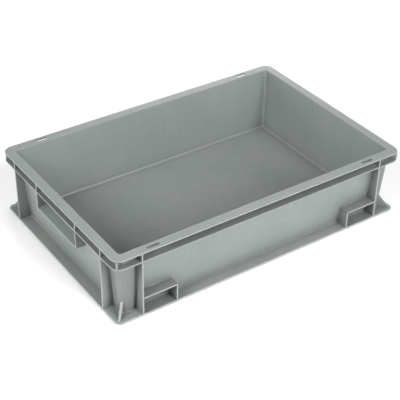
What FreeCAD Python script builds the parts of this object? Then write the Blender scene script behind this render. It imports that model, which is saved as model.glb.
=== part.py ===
"""Rigid Euro-format stacking crate, moulded in one shot, split into its named regions.

The crate stands on its floor. X runs along the long sides, Y along the ends, Z up.
The origin is the centre of the underside. The long sides face -Y (front) and +Y (rear).
All sizes are in millimetres and are driven by the spreadsheet.
"""

import FreeCAD, Part
import math
import os

import Sketcher

Vector = FreeCAD.Vector

# name: (value, what it is)
SIZES = {
    "crate_length": (600, "over the rim, along X"),
    "crate_width": (400, "over the rim, along Y"),
    "crate_height": (130, "ground to the top of the rim"),
    "side_reach": (16, "rim edge to the body's outer face at the mouth, long sides"),
    "end_reach": (15, "rim edge to the body's outer face at the mouth, ends"),
    "wall": (2.4, "thickness of the body's walls"),
    "draft": (3.5, "slope of the walls in degrees, narrower at the foot"),
    "floor_thick": (2.5, "thickness of the floor"),
    "body_corner": (5, "inside radius of the body's upright corners"),
    "floor_fillet": (4, "inside radius between floor and walls"),
    "mouth_round": (1, "rounding of the mouth's inner edge"),
    "post_proud": (4, "how far a corner post stands out from the walls' outer faces"),
    "post_gap": (5, "groove between a corner post and the rib beside it"),
    "post_round": (1, "rounding of a corner post's free edges"),
    "rim_corner": (17, "outer corner radius of both rims"),
    "base_corner": (11, "outer corner radius of the base flange"),
    "rim_thick": (2.5, "thickness of the top rim's flange"),
    "rim_round": (1.4, "rounding of the rim's and the base flange's upper outer edge"),
    "ledge_drop": (18, "top of the rim to the middle of the lower rim"),
    "ledge_thick": (2.5, "thickness of the lower rim"),
    "edge_round": (0.7, "rounding of free plate and rib edges"),
    "slot_length": (24, "rim slot, end to end"),
    "slot_width": (6, "rim slot"),
    "slot_inset": (9, "rim edge to the middle of a slot"),
    "slot_x": (225, "middle of a slot from the crate's middle"),
    "foot_drop": (2, "ground to the underside of the base flange"),
    "base_thick": (3, "thickness of the base flange"),
    "rib_thick": (2.5, "thickness of every rib, shelf and web"),
    "side_rib_x": (250, "corner rib of a long side from the crate's middle"),
    "end_rib_y": (151, "corner rib of an end from the crate's middle"),
    "grip_half": (68, "grip rib from the crate's middle"),
    "grip_drop": (34, "lower rim's middle to the grip shelf's outer edge"),
    "grip_slope": (10, "slope of the grip shelf in degrees, down and outwards"),
    "pocket_length": (66, "corner rib to pocket rib, middle to middle"),
    "pocket_height": (37, "ground to the middle of the pocket shelf"),
    "gusset_thick": (4, "thickness of a corner gusset"),
    "gusset_height": (28, "base flange to where a corner gusset's slope would end inside the post"),
    "gusset_inset": (5, "corner gusset's toe from the flange's rounded corner"),
}

doc = FreeCAD.newDocument("stacking_crate")
sheet = doc.addObject("Spreadsheet::Sheet", "sizes")
for row, (name, (value, meaning)) in enumerate(SIZES.items(), start=1):
    sheet.set(f"A{row}", name)
    sheet.set(f"B{row}", str(value))
    sheet.set(f"C{row}", meaning)
    sheet.setAlias(f"B{row}", name)
doc.recompute()

# Levels and half sizes that several pieces share, written as expressions of the sheet.
S = {name: f"sizes.{name}" for name in SIZES}
TAPER = f"tan({S['draft']} * 1 deg)"
HALF_LENGTH = f"{S['crate_length']} / 2"
HALF_WIDTH = f"{S['crate_width']} / 2"
TOP = S["crate_height"]
FLANGE_BOTTOM = f"({TOP} - {S['rim_thick']})"
LEDGE_TOP = f"({TOP} - {S['ledge_drop']} + {S['ledge_thick']} / 2)"
LEDGE_BOTTOM = f"({TOP} - {S['ledge_drop']} - {S['ledge_thick']} / 2)"
BASE_TOP = f"({S['foot_drop']} + {S['base_thick']})"
GRIP_LEVEL = f"({TOP} - {S['ledge_drop']} - {S['grip_drop']})"

named = []  # the crate's own pieces, in the order they are made


def number(expression):
    """The present value of an expression of the sheet."""
    return float(sheet.evalExpression(str(expression)))


def face_x(z, half=HALF_LENGTH, reach="end_reach"):
    """Expression: how far the body's outer face is from the middle plane, at the level z."""
    return f"({half} - {S[reach]} - ({TOP} - ({z})) * {TAPER})"


def origin_plane(body, role):
    """The body's own XY, XZ or YZ plane."""
    return next(f for f in body.Origin.OriginFeatures if f.Role == role)


def new_sketch(body, role, name, level=None):
    """An empty sketch on one of the body's planes, moved along its normal to level."""
    sketch = body.newObject("Sketcher::SketchObject", name)
    sketch.AttachmentSupport = [(origin_plane(body, role), "")]
    sketch.MapMode = "FlatFace"
    if level is not None:
        sketch.setExpression("AttachmentOffset.Base.z", level)
    return sketch


def bind(sketch, kind, *places, to):
    """A dimension of the sketch that follows an expression."""
    index = sketch.addConstraint(Sketcher.Constraint(kind, *places, number(to)))
    sketch.setExpression(f"Constraints[{index}]", to)


def polygon(sketch, corners):
    """A closed outline with straight sides; every corner is a pair of expressions."""
    points = [Vector(number(x), number(y), 0) for x, y in corners]
    count = len(points)
    for i in range(count):
        sketch.addGeometry(Part.LineSegment(points[i], points[(i + 1) % count]), False)
    for i in range(count):
        sketch.addConstraint(Sketcher.Constraint("Coincident", i, 2, (i + 1) % count, 1))
    for i, (x, y) in enumerate(corners):
        bind(sketch, "DistanceX", -1, 1, i, 1, to=x)
        bind(sketch, "DistanceY", -1, 1, i, 1, to=y)


def rectangle(sketch, half_x, half_y):
    """A rectangle about the sketch's origin."""
    polygon(
        sketch,
        [
            (f"-({half_x})", f"-({half_y})"),
            (half_x, f"-({half_y})"),
            (half_x, half_y),
            (f"-({half_x})", half_y),
        ],
    )


def pad(body, sketch, length, name, midplane=False, taper=None):
    """A pad whose length, and slope if it has one, follow the sheet."""
    feature = body.newObject("PartDesign::Pad", name)
    feature.Profile = sketch
    feature.Midplane = midplane
    feature.setExpression("Length", length)
    if taper:
        feature.setExpression("TaperAngle", taper)
    doc.recompute()
    return feature


def pocket(body, sketch, length, name):
    """A pocket that runs up, along +Z, from its sketch."""
    before = body.Tip.Shape.Volume
    feature = body.newObject("PartDesign::Pocket", name)
    feature.Profile = sketch
    feature.Reversed = True
    feature.setExpression("Length", length)
    doc.recompute()
    if feature.Shape.Volume > before - 1:
        raise RuntimeError(f"{name} cuts nothing")
    return feature


def fillet(body, chosen, radius, name):
    """A fillet on the edges of the body's tip for which chosen(edge) is true."""
    base = body.Tip
    edges = [f"Edge{i}" for i, e in enumerate(base.Shape.Edges, start=1) if chosen(e)]
    feature = body.newObject("PartDesign::Fillet", name)
    feature.Base = (base, edges)
    feature.setExpression("Radius", radius)
    doc.recompute()
    return feature


def middle(edge):
    """The point halfway along an edge."""
    return edge.valueAt((edge.FirstParameter + edge.LastParameter) / 2)


def rises(edge):
    """True for an edge that goes mostly upwards."""
    box = edge.BoundBox
    return box.ZLength > 2 * max(box.XLength, box.YLength)


def at_level(z):
    """A test for edges that lie flat at the level z."""
    level = number(z)
    return lambda edge: abs(edge.BoundBox.ZMin - level) < 0.01 and edge.BoundBox.ZLength < 0.01


def span(place, start):
    """The pair of expressions from start outwards, past the crate's edge, to the named side."""
    far = f"({HALF_LENGTH} + {HALF_WIDTH})"
    return (start, far) if place in ("right", "rear") else (f"-{far}", f"-{start}")


def drafted_block(name, half_x, half_y, bottom, corner):
    """A block up to the mouth with sloped faces and rounded upright corners; halves are at its foot."""
    body = doc.addObject("PartDesign::Body", name)
    sketch = new_sketch(body, "XY_Plane", f"{name}_foot", bottom)
    rectangle(sketch, half_x, half_y)
    pad(body, sketch, f"{TOP} - {bottom}", f"{name}_block", taper=S["draft"])
    fillet(body, rises, corner, f"{name}_corners")
    return body


def body_outline():
    """The body's outer form as one solid: a drafted block whose corner posts stand proud."""
    half_x, half_y = face_x(0), face_x(0, HALF_WIDTH, "side_reach")
    corner, proud = f"{S['body_corner']} + {S['wall']}", S["post_proud"]
    walls = drafted_block("wall_form", half_x, half_y, "0", corner)
    larger = drafted_block(
        "post_form", f"{half_x} + {proud}", f"{half_y} + {proud}", "0", f"{corner} + {proud}"
    )
    clear = f"{S['rib_thick']} / 2 + {S['post_gap']}"
    post_x, post_y = f"({S['side_rib_x']} + {clear})", f"({S['end_rib_y']} + {clear})"
    zones = doc.addObject("Part::MultiFuse", "post_zones")
    zones.Shapes = [
        block(f"post_zone_{side}_{end}", *span(end, post_x), *span(side, post_y))
        for side in ("front", "rear")
        for end in ("left", "right")
    ]
    posts = doc.addObject("Part::MultiCommon", "posts")
    posts.Shapes = [larger, zones]
    joined = doc.addObject("Part::MultiFuse", "walls_and_posts")
    joined.Shapes = [walls, posts]
    joined.Refine = True
    doc.recompute()
    body = doc.addObject("PartDesign::Body", "body_form")
    body.BaseFeature = joined
    doc.recompute()
    edge_x, edge_y = number(post_x), number(post_y)
    level = f"{TOP} / 2"
    face_at_x = number(f"{face_x(level)} + {proud} / 2")
    face_at_y = number(f"{face_x(level, HALF_WIDTH, 'side_reach')} + {proud} / 2")

    def free(edge):
        x, y = abs(middle(edge).x), abs(middle(edge).y)
        beside_side = abs(x - edge_x) < 0.01 and y > face_at_y
        beside_end = abs(y - edge_y) < 0.01 and x > face_at_x
        return rises(edge) and (beside_side or beside_end)

    fillet(body, free, S["post_round"], "post_edges")
    return body


def cavity():
    """The space inside: an even wall within the outer form, rounded where floor and walls meet."""
    level = S["floor_thick"]
    half_x = f"{face_x(level)} - {S['wall']}"
    half_y = f"{face_x(level, HALF_WIDTH, 'side_reach')} - {S['wall']}"
    body = drafted_block("cavity_form", half_x, half_y, level, S["body_corner"])
    fillet(body, at_level(level), S["floor_fillet"], "cavity_floor_fillet")
    return body


def hollow_body(body_form):
    """The whole tub, with the inner edge of its mouth rounded."""
    shell = doc.addObject("Part::Cut", "tub_shell")
    shell.Base = body_form
    shell.Tool = cavity()
    doc.recompute()
    body = doc.addObject("PartDesign::Body", "tub")
    body.BaseFeature = shell
    doc.recompute()
    inner_x = number(f"{HALF_LENGTH} - {S['end_reach']} - {S['wall']} / 2")
    inner_y = number(f"{HALF_WIDTH} - {S['side_reach']} - {S['wall']} / 2")

    def mouth(edge):
        point = middle(edge)
        return at_level(TOP)(edge) and abs(point.x) < inner_x and abs(point.y) < inner_y

    fillet(body, mouth, S["mouth_round"], "tub_mouth_round")
    return body


def block(name, x_from, x_to, y_from, y_to):
    """A box through the full height between four expressions, used to cut out a region."""
    box = doc.addObject("Part::Box", name)
    box.setExpression("Length", f"({x_to}) - ({x_from})")
    box.setExpression("Width", f"({y_to}) - ({y_from})")
    box.setExpression("Height", TOP)
    box.setExpression("Placement.Base.x", x_from)
    box.setExpression("Placement.Base.y", y_from)
    return box


def region(label, whole, part):
    """The share of a whole form that lies in part, as a piece of its own."""
    piece = doc.addObject("Part::MultiCommon", f"{label}_region")
    piece.Shapes = [whole, part]
    piece.Label = label
    named.append(piece)
    return piece


def cut(label, blank, tool):
    """A blank less the space that another form fills, as a piece of its own."""
    piece = doc.addObject("Part::Cut", f"{label}_trimmed")
    piece.Base = blank
    piece.Tool = tool
    piece.Label = label
    named.append(piece)
    return piece


def tub_regions(tub):
    """Floor, four walls and four corner posts, cut from one hollow body so they meet flush."""
    far = f"({HALF_LENGTH} + {HALF_WIDTH})"
    post_x, post_y = S["side_rib_x"], S["end_rib_y"]
    level = S["floor_thick"]
    floor_x = f"({face_x(level)} - {S['wall']} - {S['floor_fillet']})"
    floor_y = f"({face_x(level, HALF_WIDTH, 'side_reach')} - {S['wall']} - {S['floor_fillet']})"

    cross = doc.addObject("Part::MultiFuse", "floor_cross")
    cross.Shapes = [
        block("floor_long", f"-{floor_x}", floor_x, f"-{post_y}", post_y),
        block("floor_wide", f"-{post_x}", post_x, f"-{floor_y}", floor_y),
    ]
    region("floor_plate", tub, cross)
    region("front_wall", tub, block("front_block", f"-{post_x}", post_x, f"-{far}", f"-{floor_y}"))
    region("rear_wall", tub, block("rear_block", f"-{post_x}", post_x, floor_y, far))
    region("left_wall", tub, block("left_block", f"-{far}", f"-{floor_x}", f"-{post_y}", post_y))
    region("right_wall", tub, block("right_block", floor_x, far, f"-{post_y}", post_y))
    for side in ("front", "rear"):
        for end in ("left", "right"):
            label = f"{side}_{end}_corner_post"
            region(label, tub, block(f"{label}_block", *span(end, post_x), *span(side, post_y)))


def plate(name, bottom, thickness, corner, inset="0"):
    """A flat plate of the crate's outline with rounded corners, all of it inset by some amount."""
    body = doc.addObject("PartDesign::Body", name)
    sketch = new_sketch(body, "XY_Plane", f"{name}_outline", bottom)
    rectangle(sketch, f"{HALF_LENGTH} - {inset}", f"{HALF_WIDTH} - {inset}")
    pad(body, sketch, thickness, f"{name}_pad")
    fillet(body, rises, f"{corner} - {inset}", f"{name}_corners")
    return body


def rim_slots(body):
    """Four slots through the rim's flange: one is cut, then mirrored across both middle planes."""
    sketch = new_sketch(body, "XY_Plane", "rim_slot_outline", FLANGE_BOTTOM)
    radius = f"{S['slot_width']} / 2"
    run = f"({S['slot_length']} - {S['slot_width']}) / 2"
    x, y = S["slot_x"], f"({HALF_WIDTH} - {S['slot_inset']})"
    x0, x1 = number(f"{x} - {run}"), number(f"{x} + {run}")
    y_mid, r = number(y), number(radius)
    turn = math.pi / 2
    circles = [Part.Circle(Vector(c, y_mid, 0), Vector(0, 0, 1), r) for c in (x0, x1)]
    sketch.addGeometry(Part.ArcOfCircle(circles[0], turn, 3 * turn), False)
    sketch.addGeometry(Part.ArcOfCircle(circles[1], -turn, turn), False)
    sketch.addGeometry(Part.LineSegment(Vector(x0, y_mid - r, 0), Vector(x1, y_mid - r, 0)), False)
    sketch.addGeometry(Part.LineSegment(Vector(x1, y_mid + r, 0), Vector(x0, y_mid + r, 0)), False)
    for first, second in ((0, 2), (2, 1), (1, 3), (3, 0)):
        sketch.addConstraint(Sketcher.Constraint("Tangent", first, 2, second, 1))
    bind(sketch, "Radius", 0, to=radius)
    bind(sketch, "DistanceX", -1, 1, 0, 3, to=f"{x} - {run}")
    bind(sketch, "DistanceX", -1, 1, 1, 3, to=f"{x} + {run}")
    bind(sketch, "DistanceY", -1, 1, 0, 3, to=y)
    slot = pocket(body, sketch, S["rim_thick"], "rim_slot")
    both = body.newObject("PartDesign::MultiTransform", "rim_slot_pattern")
    both.Originals = [slot]
    mirrors = []
    for role in ("YZ_Plane", "XZ_Plane"):
        mirror = body.newObject("PartDesign::Mirrored", f"rim_slot_across_{role[:2]}")
        mirror.MirrorPlane = (origin_plane(body, role), [""])
        mirrors.append(mirror)
    both.Transformations = mirrors
    body.Tip = both
    doc.recompute()


def top_rim(body_form):
    """The flat flange round the mouth, with its four slots."""
    body = plate("top_rim_blank", FLANGE_BOTTOM, S["rim_thick"], S["rim_corner"])
    fillet(body, at_level(TOP), S["rim_round"], "rim_upper_round")
    fillet(body, at_level(FLANGE_BOTTOM), S["edge_round"], "rim_lower_round")
    rim_slots(body)
    cut("top_rim", body, body_form)


def lower_rim(body_form):
    """The ledge below the top rim."""
    body = plate("lower_rim_blank", LEDGE_BOTTOM, S["ledge_thick"], S["rim_corner"])
    fillet(body, at_level(LEDGE_TOP), S["edge_round"], "ledge_upper_round")
    fillet(body, at_level(LEDGE_BOTTOM), S["edge_round"], "ledge_lower_round")
    cut("lower_rim", body, body_form)


def base_flange(body_form):
    """The wide flange round the foot, a little above the ground."""
    body = plate("base_flange_blank", S["foot_drop"], S["base_thick"], S["base_corner"])
    fillet(body, at_level(BASE_TOP), S["rim_round"], "flange_upper_round")
    fillet(body, at_level(S["foot_drop"]), S["edge_round"], "flange_lower_round")
    cut("base_flange", body, body_form)


# How each side's own frame is turned: its +X points outwards through that side.
SIDES = {
    "right": (0, HALF_LENGTH, "end_reach"),
    "rear": (90, HALF_WIDTH, "side_reach"),
    "left": (180, HALF_LENGTH, "end_reach"),
    "front": (270, HALF_WIDTH, "side_reach"),
}


def set_along(body, side, along):
    """Turn a piece to its side and slide it along that side to the expression along, in X or Y."""
    body.Placement.Rotation = FreeCAD.Rotation(Vector(0, 0, 1), SIDES[side][0])
    axis = "y" if side in ("left", "right") else "x"
    body.setExpression(f"Placement.Base.{axis}", along)


def slab(label, side, along, profile, length, rounded):
    """A rib or shelf: a profile in the upright plane square to its side, padded along the side."""
    body = doc.addObject("PartDesign::Body", f"{label}_body")
    body.Label = label
    sketch = new_sketch(body, "XZ_Plane", f"{label}_profile")
    polygon(sketch, profile)
    pad(body, sketch, length, f"{label}_pad", midplane=True)
    fillet(body, rounded, S["edge_round"], f"{label}_round")
    set_along(body, side, along)
    named.append(body)
    return body


def outer_edges(half):
    """A test for the long edges of a slab on its outer plane."""
    plane = number(half)

    def chosen(edge):
        box = edge.BoundBox
        return box.XMin > plane - 0.01 and edge.Length > number(S["rib_thick"]) * 1.5

    return chosen


def upright_rib(label, side, along, bottom, top=LEDGE_BOTTOM):
    """An upright rib from the body's face to the crate's outer plane."""
    half, reach = SIDES[side][1:]
    profile = [
        (face_x(bottom, half, reach), bottom),
        (half, bottom),
        (half, top),
        (face_x(top, half, reach), top),
    ]
    slab(label, side, along, profile, S["rib_thick"], outer_edges(half))


def shelf(label, side, along, level, length, slope="0"):
    """A shelf from the body's face to the crate's outer plane; level is its outer edge's middle."""
    half, reach = SIDES[side][1:]
    half_thick = f"{S['rib_thick']} / 2"
    depth = f"({half} - {face_x(level, half, reach)})"
    lean = f"tan({slope} * 1 deg)"
    rise = f"{depth} * {lean} / (1 - {lean} * {TAPER})"
    inner_low = f"({level} - {half_thick} + {rise})"
    inner_high = f"({level} + {half_thick} + {rise})"
    profile = [
        (face_x(inner_low, half, reach), inner_low),
        (half, f"{level} - {half_thick}"),
        (half, f"{level} + {half_thick}"),
        (face_x(inner_high, half, reach), inner_high),
    ]
    slab(label, side, along, profile, length, outer_edges(half))


def corner_ribs():
    """Eight ribs beside the corner posts, two on each side, each below and above the lower rim."""
    for side in SIDES:
        across = side in ("left", "right")
        place = S["end_rib_y"] if across else S["side_rib_x"]
        for end, sign in zip(("front", "rear") if across else ("left", "right"), ("-", "")):
            upright_rib(f"{side}_{end}_rib", side, f"{sign}{place}", BASE_TOP)
            upright_rib(
                f"{side}_{end}_rim_rib", side, f"{sign}{place}", LEDGE_TOP, FLANGE_BOTTOM
            )


def end_grips():
    """A finger recess in each end, between two ribs and over a sloped shelf."""
    shelf_low = f"({GRIP_LEVEL} - {S['rib_thick']} / 2)"
    for side in ("left", "right"):
        for end, sign in (("front", "-"), ("rear", "")):
            along = f"{sign}{S['grip_half']}"
            upright_rib(f"{side}_grip_{end}_rib", side, along, shelf_low)
            upright_rib(f"{side}_grip_{end}_rim_rib", side, along, LEDGE_TOP, FLANGE_BOTTOM)
        length = f"2 * {S['grip_half']} - {S['rib_thick']}"
        shelf(f"{side}_grip_shelf", side, "0", GRIP_LEVEL, length, S["grip_slope"])


def corner_pockets():
    """Four open boxes low on the long sides, each against a corner rib."""
    shelf_low = f"({S['pocket_height']} - {S['rib_thick']} / 2)"
    for side in ("front", "rear"):
        for end, sign in (("left", "-"), ("right", "")):
            rib_at = f"({S['side_rib_x']} - {S['pocket_length']})"
            upright_rib(f"{side}_{end}_pocket_rib", side, f"{sign}{rib_at}", BASE_TOP, shelf_low)
            middle_at = f"({S['side_rib_x']} - {S['rib_thick']} / 2 - {S['pocket_length']} / 2)"
            shelf(
                f"{side}_{end}_pocket_shelf",
                side,
                f"{sign}{middle_at}",
                S["pocket_height"],
                S["pocket_length"],
            )


def corner_web(label, x_sign, y_sign, radius, profile, thick, body_form):
    """A web on the diagonal of a corner; its profile runs out from the centre of that radius."""
    body = doc.addObject("PartDesign::Body", f"{label}_blank")
    sketch = new_sketch(body, "XZ_Plane", f"{label}_profile")
    polygon(sketch, profile)
    pad(body, sketch, thick, f"{label}_pad", midplane=True)
    turn = math.degrees(math.atan2(y_sign, x_sign))
    body.Placement.Rotation = FreeCAD.Rotation(Vector(0, 0, 1), turn)
    body.setExpression("Placement.Base.x", f"{x_sign} * ({HALF_LENGTH} - {radius})")
    body.setExpression("Placement.Base.y", f"{y_sign} * ({HALF_WIDTH} - {radius})")
    cut(label, body, body_form)


def corner_webs(body_form):
    """A gusset on the base flange and a web in the rim channel, at each corner."""
    out, foot = S["rim_corner"], S["base_corner"]
    toe = f"({foot} - {S['gusset_inset']})"
    inside = f"-{out}"
    peak = f"({BASE_TOP} + {S['gusset_height']})"
    gusset = [(inside, BASE_TOP), (toe, BASE_TOP), (inside, peak)]
    half_thick = f"({S['rib_thick']} / 2)"
    front = f"sqrt({out} * {out} - {half_thick} * {half_thick})"
    web = [
        (inside, LEDGE_TOP),
        (front, LEDGE_TOP),
        (front, FLANGE_BOTTOM),
        (inside, FLANGE_BOTTOM),
    ]
    gusset_thick, web_thick = S["gusset_thick"], S["rib_thick"]
    for side, y_sign in (("front", -1), ("rear", 1)):
        for end, x_sign in (("left", -1), ("right", 1)):
            place = f"{side}_{end}"
            corner_web(f"{place}_gusset", x_sign, y_sign, foot, gusset, gusset_thick, body_form)
            corner_web(f"{place}_rim_web", x_sign, y_sign, out, web, web_thick, body_form)


def check_document():
    """Stop if any object failed or any piece has no sound solid."""
    for item in doc.Objects:
        if "Invalid" in item.State or "Error" in item.State:
            raise RuntimeError(f"{item.Label} failed: {item.State}")
    for piece in named:
        shape = piece.Shape
        if shape.isNull() or not shape.isValid() or len(shape.Solids) != 1:
            raise RuntimeError(f"{piece.Label} is not one sound solid")


def write_pieces():
    """One STEP file per piece, named after it."""
    os.makedirs("parts", exist_ok=True)
    for piece in named:
        piece.Shape.exportStep(f"parts/{piece.Label}.step")


outer_form = body_outline()
tub_regions(hollow_body(outer_form))
top_rim(outer_form)
lower_rim(outer_form)
base_flange(outer_form)
corner_ribs()
end_grips()
corner_pockets()
corner_webs(outer_form)
doc.recompute()
check_document()
write_pieces()
print(f"{len(named)} pieces")
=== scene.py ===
"""A rigid grey stacking crate, moulded in one piece, on a white studio floor.

Metres, +Z up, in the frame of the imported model: X along the crate's long sides, -Y its front.
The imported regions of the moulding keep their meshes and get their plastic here. New meshes add
the root fillets, where ribs, shelves and flanges run into the walls, and the floor's gate marks.
"""

import math

import bmesh
import bpy
from mathutils import Matrix, Vector


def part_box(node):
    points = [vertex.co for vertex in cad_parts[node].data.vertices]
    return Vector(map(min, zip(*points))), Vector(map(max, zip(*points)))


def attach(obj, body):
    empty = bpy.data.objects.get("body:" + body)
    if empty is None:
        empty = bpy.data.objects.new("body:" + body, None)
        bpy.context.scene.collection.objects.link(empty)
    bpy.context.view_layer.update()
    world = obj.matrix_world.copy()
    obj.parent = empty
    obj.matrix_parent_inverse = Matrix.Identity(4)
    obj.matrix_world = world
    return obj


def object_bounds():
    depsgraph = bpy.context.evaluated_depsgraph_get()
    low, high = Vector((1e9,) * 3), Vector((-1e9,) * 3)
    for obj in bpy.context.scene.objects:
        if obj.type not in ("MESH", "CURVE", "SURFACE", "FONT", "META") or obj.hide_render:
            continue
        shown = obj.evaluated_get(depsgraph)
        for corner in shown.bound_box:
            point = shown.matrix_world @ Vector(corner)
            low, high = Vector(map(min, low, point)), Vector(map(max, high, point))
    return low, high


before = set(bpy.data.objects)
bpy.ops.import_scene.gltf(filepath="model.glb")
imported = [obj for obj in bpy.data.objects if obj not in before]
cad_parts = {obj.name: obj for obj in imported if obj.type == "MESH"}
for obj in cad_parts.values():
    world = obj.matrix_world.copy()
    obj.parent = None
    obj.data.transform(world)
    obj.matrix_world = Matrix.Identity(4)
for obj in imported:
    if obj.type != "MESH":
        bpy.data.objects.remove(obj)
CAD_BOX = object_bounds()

CRATE_LOW, CRATE_HIGH = CAD_BOX
MM = 0.001

# The tub's form, as the crate is moulded: its draft, and its corner posts, proud of the walls.
DRAFT = math.tan(math.radians(3.5))
POST_PROUD = 4.0 * MM
POST_GAP = 5.0 * MM
POST_CORNER = 11.4 * MM
WALL_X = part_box("right_wall")[1].x
WALL_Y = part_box("rear_wall")[1].y
RIB_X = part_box("rear_right_rib")[1].x
RIB_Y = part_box("right_rear_rib")[1].y
FLANGE_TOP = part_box("base_flange")[1].z
LEDGE_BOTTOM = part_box("lower_rim")[0].z
LEDGE_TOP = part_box("lower_rim")[1].z
FLOOR_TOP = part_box("floor_plate")[1].z
POCKET_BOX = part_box("rear_right_pocket_shelf")
# A grip shelf's underside is this much higher at the wall than at its edge.
GRIP_CLIMB = 3.2 * MM

# Root fillets: radii, how far they are sunk into the plastic, and the steps of an arc.
FLANGE_FILLET = 1.3 * MM
LEDGE_UNDER_FILLET = 1.5 * MM
RIB_FILLET = 1.2 * MM
SHELF_FILLET = 1.5 * MM
BURIED = 0.3 * MM
FILLET_STEPS = 6
POST_ARC_STEPS = 10

# Gate marks: radius and height in mm along the profile, from its rim to the nib in its middle.
GATE_Y = 137.0 * MM
GATE_STEPS = 40
GATE_PROFILE = ((6, -0.2), (5.8, 0.3), (5.2, 0.4), (4.6, 0.04), (2.4, 0.04), (1.9, 1.0), (1.3, 1.2))

# Camera: where it looks from, and the point that the middle of the picture shows.
VIEW_AZIMUTH = math.radians(-34.8)
VIEW_ELEVATION = math.radians(34.9)
VIEW_ROLL = math.radians(0.87)
VIEW_DISTANCE = 1.961
VIEW_TARGET = Vector((-0.0223, -0.0280, 0.0450))
SENSOR_WIDTH = 36
LENS = 96.9

# Soft boxes round the crate: azimuth from the front and elevation in degrees, watts.
SOFT_BOX_SIZE = 1.2
SOFT_BOX_DISTANCE = 3.0
SOFT_BOXES = {
    "front_softbox": (10, 38, 92),
    "left_softbox": (-80, 38, 84),
    "front_low_softbox": (10, 12, 20),
    "left_low_softbox": (-125, 12, 22),
    "rear_low_softbox": (145, 14, 26),
    "right_softbox": (100, 35, 18),
}

# The world's strength at the horizon and overhead, and the elevations between which it fades.
HORIZON = 1.0
SKY_FILL = 0.06
FADE_START = math.radians(10)
FADE_END = math.radians(30)

# The studio floor lies a hair below the foot, so that no two faces share a plane.
FLOOR_WHITE = (0.86, 0.86, 0.86)
FLOOR_FAINT = 0.99
FLOOR_CLOUDS = 3.0
FLOOR_ROUGHNESS = 0.9
FLOOR_RADIUS = 1.8
FLOOR_CORNERS = 96
FLOOR_GAP = 0.1 * MM

# The plastic's linear colours: the plain grey, the lighter grey of wear and painted edge highlights,
# the grey of dust, and the dark grey of painted shade.
GREY = (0.190, 0.208, 0.200)
GREY_COOL = (0.174, 0.195, 0.190)
GREY_WORN_AND_HIGHLIGHT = (0.440, 0.462, 0.452)
GREY_DUST = (0.250, 0.256, 0.240)
GREY_PAINTED_SHADE = (0.085, 0.093, 0.086)
# The painted shade's share of the colour deep in a corner, and how far round a point a recess
# counts.
RECESS_SHADE_SHARE = 0.50
RECESS_REACH = 28.0 * MM
DUST_TOP = 35.0 * MM
GRAIN_DEPTH = 0.05 * MM
SINK_DEPTH = 0.3 * MM
ROUGHNESS = (0.34, 0.46)
PLASTIC_IOR = 1.49

# Noise scales of the plastic's marks: the larger, the finer.
CLOUDS = 9.0
SPECKS = 700.0
DUST_PATCHES = 45.0
EDGE_PATCHES = 90.0
SCRATCH_PATCHES = 12.0
SCUFFS = 60.0
GRAIN = 2200.0
SINK_MARKS = 14.0
# Lines are noise that is multiplied less along one axis. Scratches also turn, in degrees.
FLOW_STRETCH = (140.0, 140.0, 3.0)
SCRATCH_STRETCH = (26.0, 1400.0, 300.0)
SCRATCH_TURNS = (24.0, 78.0, 141.0)


class Tree:
    """A material's node tree, with short calls for the nodes that the plastics share."""

    def __init__(self, name):
        self.material = bpy.data.materials.new(name)
        self.material.use_nodes = True
        self.nodes = self.material.node_tree.nodes
        self.links = self.material.node_tree.links
        self.shader = self.nodes["Principled BSDF"]
        self.place = self.nodes.new("ShaderNodeTexCoord").outputs["Object"]

    def put(self, value, socket):
        """Set a socket to a plain value, or link another socket to it."""
        if isinstance(value, bpy.types.NodeSocket):
            self.links.new(value, socket)
        else:
            socket.default_value = value

    def math(self, operation, first, second=0.0):
        node = self.nodes.new("ShaderNodeMath")
        node.operation = operation
        self.put(first, node.inputs[0])
        self.put(second, node.inputs[1])
        return node.outputs[0]

    def ramp(self, value, low, high, to_low=0.0, to_high=1.0):
        """A smooth step: value from low to high becomes to_low to to_high."""
        node = self.nodes.new("ShaderNodeMapRange")
        node.interpolation_type = "SMOOTHSTEP"
        self.put(value, node.inputs["Value"])
        node.inputs["From Min"].default_value = low
        node.inputs["From Max"].default_value = high
        node.inputs["To Min"].default_value = to_low
        node.inputs["To Max"].default_value = to_high
        return node.outputs["Result"]

    def mix(self, share, first, second):
        node = self.nodes.new("ShaderNodeMix")
        node.data_type = "RGBA"
        self.put(share, node.inputs["Factor"])
        for value, socket in ((first, node.inputs["A"]), (second, node.inputs["B"])):
            self.put((*value, 1.0) if isinstance(value, tuple) else value, socket)
        return node.outputs["Result"]

    def stretched(self, scale, turn=0.0):
        """The crate's own coordinates, turned about Z by some degrees and multiplied per axis."""
        node = self.nodes.new("ShaderNodeMapping")
        self.links.new(self.place, node.inputs["Vector"])
        node.inputs["Rotation"].default_value = (0.0, 0.0, math.radians(turn))
        node.inputs["Scale"].default_value = scale
        return node.outputs["Vector"]

    def noise(self, scale, detail=2.0, where=None):
        node = self.nodes.new("ShaderNodeTexNoise")
        self.links.new(where or self.place, node.inputs["Vector"])
        node.inputs["Scale"].default_value = scale
        node.inputs["Detail"].default_value = detail
        return node.outputs["Fac"]

    def axes(self):
        """The three coordinates, in metres."""
        node = self.nodes.new("ShaderNodeSeparateXYZ")
        self.links.new(self.place, node.inputs["Vector"])
        return node.outputs

    def bump(self, value, depth, under=None):
        node = self.nodes.new("ShaderNodeBump")
        node.inputs["Distance"].default_value = depth
        self.put(value, node.inputs["Height"])
        if under is not None:
            self.links.new(under, node.inputs["Normal"])
        return node.outputs["Normal"]


def near_outline(tree, from_edge, to_edge):
    """1 at the crate's outer upright planes, falling to 0 between two distances inside them."""
    x, y, _ = tree.axes()
    along_x = tree.ramp(tree.math("ABSOLUTE", x), CRATE_HIGH.x - from_edge, CRATE_HIGH.x - to_edge)
    along_y = tree.ramp(tree.math("ABSOLUTE", y), CRATE_HIGH.y - from_edge, CRATE_HIGH.y - to_edge)
    return tree.math("MAXIMUM", along_x, along_y)


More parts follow.
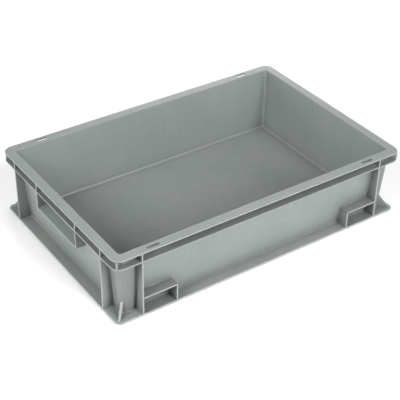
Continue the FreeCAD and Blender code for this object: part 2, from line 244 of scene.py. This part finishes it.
def scratches(tree, amount):
    """Fine hair scratches in three directions, as a share of worn plastic."""
    total = None
    for turn in SCRATCH_TURNS:
        lines = tree.noise(1.0, detail=1.0, where=tree.stretched(SCRATCH_STRETCH, turn))
        thin = tree.ramp(lines, 0.66, 0.74, 0.0, amount)
        total = thin if total is None else tree.math("MAXIMUM", total, thin)
    patches = tree.ramp(tree.noise(SCRATCH_PATCHES, detail=2.0), 0.45, 0.62)
    return tree.math("MULTIPLY", total, patches)


def painted_recess_shade(tree, amount):
    """How much painted shade a point gets: none in the open, up to amount deep in a corner."""
    node = tree.nodes.new("ShaderNodeAmbientOcclusion")
    node.samples = 8
    node.inputs["Distance"].default_value = RECESS_REACH
    return tree.ramp(node.outputs["AO"], 0.3, 0.95, amount, 0.0)


def outer_side(tree, amount):
    """amount on the tub's sloping outer faces, none on its inner ones."""
    x, y, z = tree.axes()
    lean = tree.math("MULTIPLY", tree.math("SUBTRACT", CRATE_HIGH.z, z), DRAFT)
    shares = []
    for part, half in ((x, WALL_X), (y, WALL_Y)):
        reach = tree.math("ADD", tree.math("ABSOLUTE", part), lean)
        shares.append(tree.ramp(reach, half - 1.6 * MM, half - 0.8 * MM, 0.0, amount))
    outer = tree.math("MAXIMUM", *shares)
    above_foot = tree.ramp(z, 0.5 * MM, 2.0 * MM)
    below_rim = tree.ramp(z, CRATE_HIGH.z - 2.0 * MM, CRATE_HIGH.z - 1.0 * MM, 1.0, 0.0)
    return tree.math("MULTIPLY", outer, tree.math("MULTIPLY", above_foot, below_rim))


def pocket_insides(tree, amount):
    """amount on what lies outside the tub and within the four corner pockets."""
    x, _, z = tree.axes()
    low, high = POCKET_BOX
    reach = tree.math("ABSOLUTE", x)
    shares = [
        tree.ramp(reach, low.x - 0.5 * MM, low.x + 0.5 * MM),
        tree.ramp(reach, high.x - 0.5 * MM, high.x + 0.5 * MM, 1.0, 0.0),
        tree.ramp(z, low.z - 1.0 * MM, low.z, 1.0, 0.0),
        outer_side(tree, 1.0),
    ]
    within = shares[0]
    for share in shares[1:]:
        within = tree.math("MINIMUM", within, share)
    return tree.math("MULTIPLY", within, amount)


def slot_walls(tree, amount):
    """amount on the rim's underside and in its slots, none on its top and outer edge."""
    below = tree.ramp(tree.axes()[2], CRATE_HIGH.z - 1.2 * MM, CRATE_HIGH.z - 0.3 * MM, amount, 0.0)
    inner = tree.math("SUBTRACT", 1.0, near_outline(tree, 4.0 * MM, 3.0 * MM))
    return tree.math("MULTIPLY", below, inner)


def crate_plastic(
    name,
    edge_wear_and_highlight=0.0,
    flow=0.0,
    scratch=0.0,
    dust=0.0,
    side_shade=0.0,
    pocket_shade=0.0,
    floor_shade=0.0,
    slot_shade=0.0,
    tone=1.0,
):
    """Satin moulded polypropylene.

    edge_wear_and_highlight lightens the outer planes, partly as rubbed wear and partly as a
    painted highlight on the edges; flow is upright flow lines, scratch is hair scratches, dust
    lies low on the crate and tone is the lightness. Every plastic gets painted shade in its
    recesses. The shades are painted shade, standing in for shadow that the soft boxes don't
    cast: they darken the tub's outside, the corner pockets' insides, the crate's floor and the
    rim's slots.
    """
    tree = Tree(name)
    base, cool = (tuple(tone * part for part in grey) for grey in (GREY, GREY_COOL))
    colour = tree.mix(tree.ramp(tree.noise(CLOUDS, detail=3.0), 0.35, 0.65), base, cool)
    speck = tree.noise(SPECKS, detail=2.0)
    colour = tree.mix(tree.ramp(speck, 0.3, 0.7, 0.0, 0.08), colour, GREY_WORN_AND_HIGHLIGHT)
    if dust:
        low = tree.ramp(tree.axes()[2], 0.0, DUST_TOP, dust, 0.0)
        patches = tree.ramp(tree.noise(DUST_PATCHES, detail=4.0), 0.35, 0.7)
        patchy = tree.math("MULTIPLY", low, patches)
        colour = tree.mix(patchy, colour, GREY_DUST)
    # Painted shade: every plastic is darker in its recesses, by ambient occlusion.
    colour = tree.mix(painted_recess_shade(tree, RECESS_SHADE_SHARE), colour, GREY_PAINTED_SHADE)
    if side_shade:
        colour = tree.mix(outer_side(tree, side_shade), colour, GREY_PAINTED_SHADE)
    if floor_shade:
        z = tree.axes()[2]
        low = tree.ramp(z, FLOOR_TOP + 0.5 * MM, FLOOR_TOP + 4.0 * MM, floor_shade, 0.0)
        colour = tree.mix(low, colour, GREY_PAINTED_SHADE)
    if slot_shade:
        colour = tree.mix(slot_walls(tree, slot_shade), colour, GREY_PAINTED_SHADE)
    if pocket_shade:
        colour = tree.mix(pocket_insides(tree, pocket_shade), colour, GREY_PAINTED_SHADE)
    # Partly rubbed wear and partly a painted highlight: the outer planes and edges are made lighter.
    if edge_wear_and_highlight:
        broken = tree.ramp(tree.noise(EDGE_PATCHES, detail=3.0), 0.2, 0.6, 0.65, 1.0)
        worn_and_highlit_edges = tree.math("MULTIPLY", near_outline(tree, 0.9 * MM, 0.2 * MM), edge_wear_and_highlight)
        colour = tree.mix(tree.math("MULTIPLY", worn_and_highlit_edges, broken), colour, GREY_WORN_AND_HIGHLIGHT)
    if flow:
        lines = tree.noise(1.0, detail=3.0, where=tree.stretched(FLOW_STRETCH))
        colour = tree.mix(tree.ramp(lines, 0.35, 0.75, 0.0, flow), colour, GREY_WORN_AND_HIGHLIGHT)
    if scratch:
        colour = tree.mix(scratches(tree, scratch), colour, GREY_WORN_AND_HIGHLIGHT)
    tree.links.new(colour, tree.shader.inputs["Base Color"])
    scuffs = tree.noise(SCUFFS, detail=5.0)
    rough = tree.ramp(scuffs, 0.3, 0.7, *ROUGHNESS)
    tree.links.new(rough, tree.shader.inputs["Roughness"])
    grain = tree.bump(tree.noise(GRAIN, detail=2.0), GRAIN_DEPTH)
    sink = tree.bump(tree.noise(SINK_MARKS, detail=1.0), SINK_DEPTH, under=grain)
    tree.links.new(sink, tree.shader.inputs["Normal"])
    tree.shader.inputs["IOR"].default_value = PLASTIC_IOR
    return tree.material


# Regions that share an open face have the same plastic there, so that no border shows.
TUB = {"flow": 0.03, "scratch": 0.10, "dust": 0.2, "floor_shade": 0.13}
PLASTICS = {
    "wall": crate_plastic("wall_plastic", side_shade=0.15, pocket_shade=0.30, **TUB),
    "floor": crate_plastic("floor_plastic", **TUB),
    "post": crate_plastic("post_plastic", side_shade=0.56, **TUB),
    "rib": crate_plastic("rib_plastic", edge_wear_and_highlight=0.24, dust=0.3),
    "grip": crate_plastic("grip_plastic", edge_wear_and_highlight=0.05, dust=0.3),
    # The pocket shelves' plastic is darker through its tone: painted shade.
    "pocket": crate_plastic("pocket_plastic", edge_wear_and_highlight=0.36, dust=0.3, tone=0.78),
    "rim": crate_plastic("rim_plastic", edge_wear_and_highlight=0.12, scratch=0.12, slot_shade=0.95),
    "ledge": crate_plastic("ledge_plastic", edge_wear_and_highlight=0.06, scratch=0.10),
    "base": crate_plastic("base_plastic", edge_wear_and_highlight=0.28, scratch=0.16, dust=0.4, pocket_shade=0.40),
}


# Which plastic a region has, by the ending of its name.
PLASTIC_BY_ENDING = {
    "wall": "wall",
    "floor_plate": "floor",
    "corner_post": "post",
    "rib": "rib",
    "web": "rib",
    "gusset": "rib",
    "grip_shelf": "grip",
    "pocket_shelf": "pocket",
    "top_rim": "rim",
    "lower_rim": "ledge",
    "base_flange": "base",
}


def plastic_for(name):
    kinds = [kind for ending, kind in PLASTIC_BY_ENDING.items() if name.endswith(ending)]
    return PLASTICS[kinds[0]]


def paint_crate():
    for name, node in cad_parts.items():
        node.data.materials.clear()
        node.data.materials.append(plastic_for(name))


def add_piece(name, mesh, material):
    """A smooth mesh piece of the moulding."""
    bmesh.ops.recalc_face_normals(mesh, faces=mesh.faces)
    data = bpy.data.meshes.new(name)
    mesh.to_mesh(data)
    mesh.free()
    for face in data.polygons:
        face.use_smooth = True
    data.materials.append(material)
    piece = bpy.data.objects.new(name, data)
    bpy.context.scene.collection.objects.link(piece)
    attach(piece, "root")


def fillet_section(radius):
    """A concave fillet in a right angle, its two backs sunk a little into both surfaces."""
    arc = []
    for step in range(FILLET_STEPS + 1):
        angle = math.pi / 2 * step / FILLET_STEPS
        arc.append((radius * (1 - math.sin(angle)), radius * (1 - math.cos(angle))))
    return [(-BURIED, -BURIED), (radius, -BURIED), *arc, (-BURIED, radius)]


def sweep(mesh, frames, section, closed=False):
    """Carry a section along frames, each an origin and the directions of the section's axes."""
    rings = [
        [mesh.verts.new(origin + u * across + v * up) for u, v in section]
        for origin, across, up in frames
    ]
    if closed:
        rings.append(rings[0])
    for first, second in zip(rings, rings[1:]):
        for i in range(len(section)):
            j = (i + 1) % len(section)
            mesh.faces.new((first[i], first[j], second[j], second[i]))
    if not closed:
        mesh.faces.new(rings[0])
        mesh.faces.new(rings[-1])


def wall_at(half, z):
    """How far a wall's outer face is from the middle plane at the height z."""
    return half - (CRATE_HIGH.z - z) * DRAFT


def tub_outline(z):
    """The tub's outer outline at the height z, anticlockwise, with its four proud posts."""
    x, y = wall_at(WALL_X, z), wall_at(WALL_Y, z)
    post_x, post_y = RIB_X + POST_GAP, RIB_Y + POST_GAP
    centre_x, centre_y = x + POST_PROUD - POST_CORNER, y + POST_PROUD - POST_CORNER
    quarter = [(x, post_y), (x + POST_PROUD, post_y)]
    for step in range(POST_ARC_STEPS + 1):
        angle = math.pi / 2 * step / POST_ARC_STEPS
        quarter.append(
            (centre_x + POST_CORNER * math.cos(angle), centre_y + POST_CORNER * math.sin(angle))
        )
    quarter += [(post_x, y + POST_PROUD), (post_x, y)]
    outline = []
    for sign_x, sign_y in ((1, 1), (-1, 1), (-1, -1), (1, -1)):
        turned = [(sign_x * px, sign_y * py) for px, py in quarter]
        outline += turned if sign_x == sign_y else turned[::-1]
    return [Vector(point) for point in outline]


def tub_ring(name, z, radius, rise, material):
    """A root fillet all round the tub, on top of a flange at z (rise 1) or beneath it (-1)."""
    points = tub_outline(z)
    frames = []
    for i, point in enumerate(points):
        before = (point - points[i - 1]).normalized()
        after = (points[(i + 1) % len(points)] - point).normalized()
        first, second = Vector((before.y, -before.x)), Vector((after.y, -after.x))
        across = (first + second) / (1 + first.dot(second))
        frames.append((point.to_3d() + Vector((0, 0, z)), across.to_3d(), Vector((0, 0, rise))))
    mesh = bmesh.new()
    sweep(mesh, frames, fillet_section(radius), closed=True)
    add_piece(name, mesh, material)


def side_axes(name):
    """For a rib or shelf by its name: outward and sideways directions, and the wall's half size."""
    side = name.split("_")[0]
    if side in ("left", "right"):
        return Vector((-1 if side == "left" else 1, 0, 0)), Vector((0, 1, 0)), WALL_X
    return Vector((0, -1 if side == "front" else 1, 0)), Vector((1, 0, 0)), WALL_Y


def rib_fillets(name, radius):
    """Two upright root fillets, one on each side of a rib."""
    out, along, half = side_axes(name)
    low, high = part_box(name)
    mesh = bmesh.new()
    for place, turn in ((low.dot(along), -1), (high.dot(along), 1)):
        frames = [
            (out * wall_at(half, z) + along * place + Vector((0, 0, z)), turn * along, out)
            for z in (low.z, high.z)
        ]
        sweep(mesh, frames, fillet_section(radius))
    add_piece(f"{name}_root_fillets", mesh, PLASTICS["wall"])


def shelf_fillets(name, radius, climb):
    """Two level root fillets, above and beneath a shelf that is climb higher at the wall."""
    out, along, half = side_axes(name)
    low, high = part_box(name)
    mesh = bmesh.new()
    for level, rise in ((high.z, 1), (low.z + climb, -1)):
        root = out * wall_at(half, level) + Vector((0, 0, level))
        frames = [
            (root + along * place.dot(along), out, Vector((0, 0, rise))) for place in (low, high)
        ]
        sweep(mesh, frames, fillet_section(radius))
    add_piece(f"{name}_root_fillets", mesh, PLASTICS["wall"])


def root_fillets():
    tub_ring("base_flange_root_fillet", FLANGE_TOP, FLANGE_FILLET, 1, PLASTICS["wall"])
    tub_ring("lower_rim_upper_fillet", LEDGE_TOP, FLANGE_FILLET, 1, PLASTICS["wall"])
    tub_ring("lower_rim_under_fillet", LEDGE_BOTTOM, LEDGE_UNDER_FILLET, -1, PLASTICS["wall"])
    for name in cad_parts:
        if name.endswith("_rib"):
            rib_fillets(name, RIB_FILLET)
        elif name.endswith("grip_shelf"):
            shelf_fillets(name, SHELF_FILLET, GRIP_CLIMB)
        elif name.endswith("pocket_shelf"):
            shelf_fillets(name, SHELF_FILLET, 0.0)


def gate_mark(name, x, y):
    """The round mark that a hot-runner nozzle leaves: a low ring with a nib in its middle."""
    mesh = bmesh.new()
    angles = [math.tau * step / GATE_STEPS for step in range(GATE_STEPS)]
    rings = []
    for radius, height in GATE_PROFILE:
        reach, z = radius * MM, FLOOR_TOP + height * MM
        ring = [(x + reach * math.cos(angle), y + reach * math.sin(angle), z) for angle in angles]
        rings.append([mesh.verts.new(point) for point in ring])
    for outer, inner in zip(rings, rings[1:]):
        for i in range(GATE_STEPS):
            j = (i + 1) % GATE_STEPS
            mesh.faces.new((outer[i], outer[j], inner[j], inner[i]))
    mesh.faces.new(rings[-1])
    mesh.faces.new(rings[0][::-1])
    add_piece(name, mesh, PLASTICS["floor"])


def studio_floor():
    """A white disc that ends inside the lights; the white horizon runs on beyond it."""
    tree = Tree("studio_floor")
    faint = tuple(FLOOR_FAINT * part for part in FLOOR_WHITE)
    white = tree.mix(tree.noise(FLOOR_CLOUDS), FLOOR_WHITE, faint)
    tree.links.new(white, tree.shader.inputs["Base Color"])
    tree.shader.inputs["Roughness"].default_value = FLOOR_ROUGHNESS
    bpy.ops.mesh.primitive_circle_add(
        vertices=FLOOR_CORNERS, radius=FLOOR_RADIUS, fill_type="NGON"
    )
    floor = bpy.context.object
    floor.name = "studio_floor"
    floor.location.z = -FLOOR_GAP
    floor.data.materials.append(tree.material)


def direction(azimuth, elevation):
    """The unit vector towards an azimuth, counted from the front, and an elevation, in radians."""
    level = math.cos(elevation)
    return Vector((math.sin(azimuth) * level, -math.cos(azimuth) * level, math.sin(elevation)))


def soft_box(name, azimuth, elevation, power):
    """A square soft box that faces the crate, its place given in degrees."""
    data = bpy.data.lights.new(name, "AREA")
    data.shape = "SQUARE"
    data.size = SOFT_BOX_SIZE
    data.energy = power
    light = bpy.data.objects.new(name, data)
    bpy.context.scene.collection.objects.link(light)
    back = direction(math.radians(azimuth), math.radians(elevation))
    light.location = VIEW_TARGET + back * SOFT_BOX_DISTANCE
    light.rotation_euler = back.to_track_quat("Z", "Y").to_euler()
    light.visible_camera = False


def studio_light():
    """The soft boxes, a white horizon behind the floor's edge and a faint fill from above."""
    for name, (azimuth, elevation, power) in SOFT_BOXES.items():
        soft_box(name, azimuth, elevation, power)
    world = bpy.data.worlds.new("studio")
    bpy.context.scene.world = world
    world.use_nodes = True
    nodes, links = world.node_tree.nodes, world.node_tree.links
    aim = nodes.new("ShaderNodeTexCoord")
    split = nodes.new("ShaderNodeSeparateXYZ")
    links.new(aim.outputs["Generated"], split.inputs["Vector"])
    fade = nodes.new("ShaderNodeMapRange")
    fade.interpolation_type = "SMOOTHSTEP"
    links.new(split.outputs["Z"], fade.inputs["Value"])
    fade.inputs["From Min"].default_value = math.sin(FADE_START)
    fade.inputs["From Max"].default_value = math.sin(FADE_END)
    fade.inputs["To Min"].default_value = HORIZON
    fade.inputs["To Max"].default_value = SKY_FILL
    sky = nodes["Background"]
    sky.inputs["Color"].default_value = (1.0, 1.0, 1.0, 1.0)
    links.new(fade.outputs["Result"], sky.inputs["Strength"])


def camera():
    """The camera, level but for its roll, its middle on the target."""
    data = bpy.data.cameras.new("camera")
    data.sensor_width = SENSOR_WIDTH
    data.lens = LENS
    data.clip_end = 100
    seen_from = bpy.data.objects.new("camera", data)
    bpy.context.scene.collection.objects.link(seen_from)
    back = direction(VIEW_AZIMUTH, VIEW_ELEVATION)
    right = Vector((math.cos(VIEW_AZIMUTH), math.sin(VIEW_AZIMUTH), 0))
    level = Matrix((right, back.cross(right), back)).transposed()
    seen_from.matrix_world = (
        Matrix.Translation(VIEW_TARGET + back * VIEW_DISTANCE)
        @ level.to_4x4()
        @ Matrix.Rotation(VIEW_ROLL, 4, "Z")
    )
    bpy.context.scene.camera = seen_from


paint_crate()
root_fillets()
gate_mark("rear_gate_mark", 0.0, GATE_Y)
gate_mark("front_gate_mark", 0.0, -GATE_Y)
studio_floor()
studio_light()
camera()
bpy.context.scene.view_settings.view_transform = "Standard"
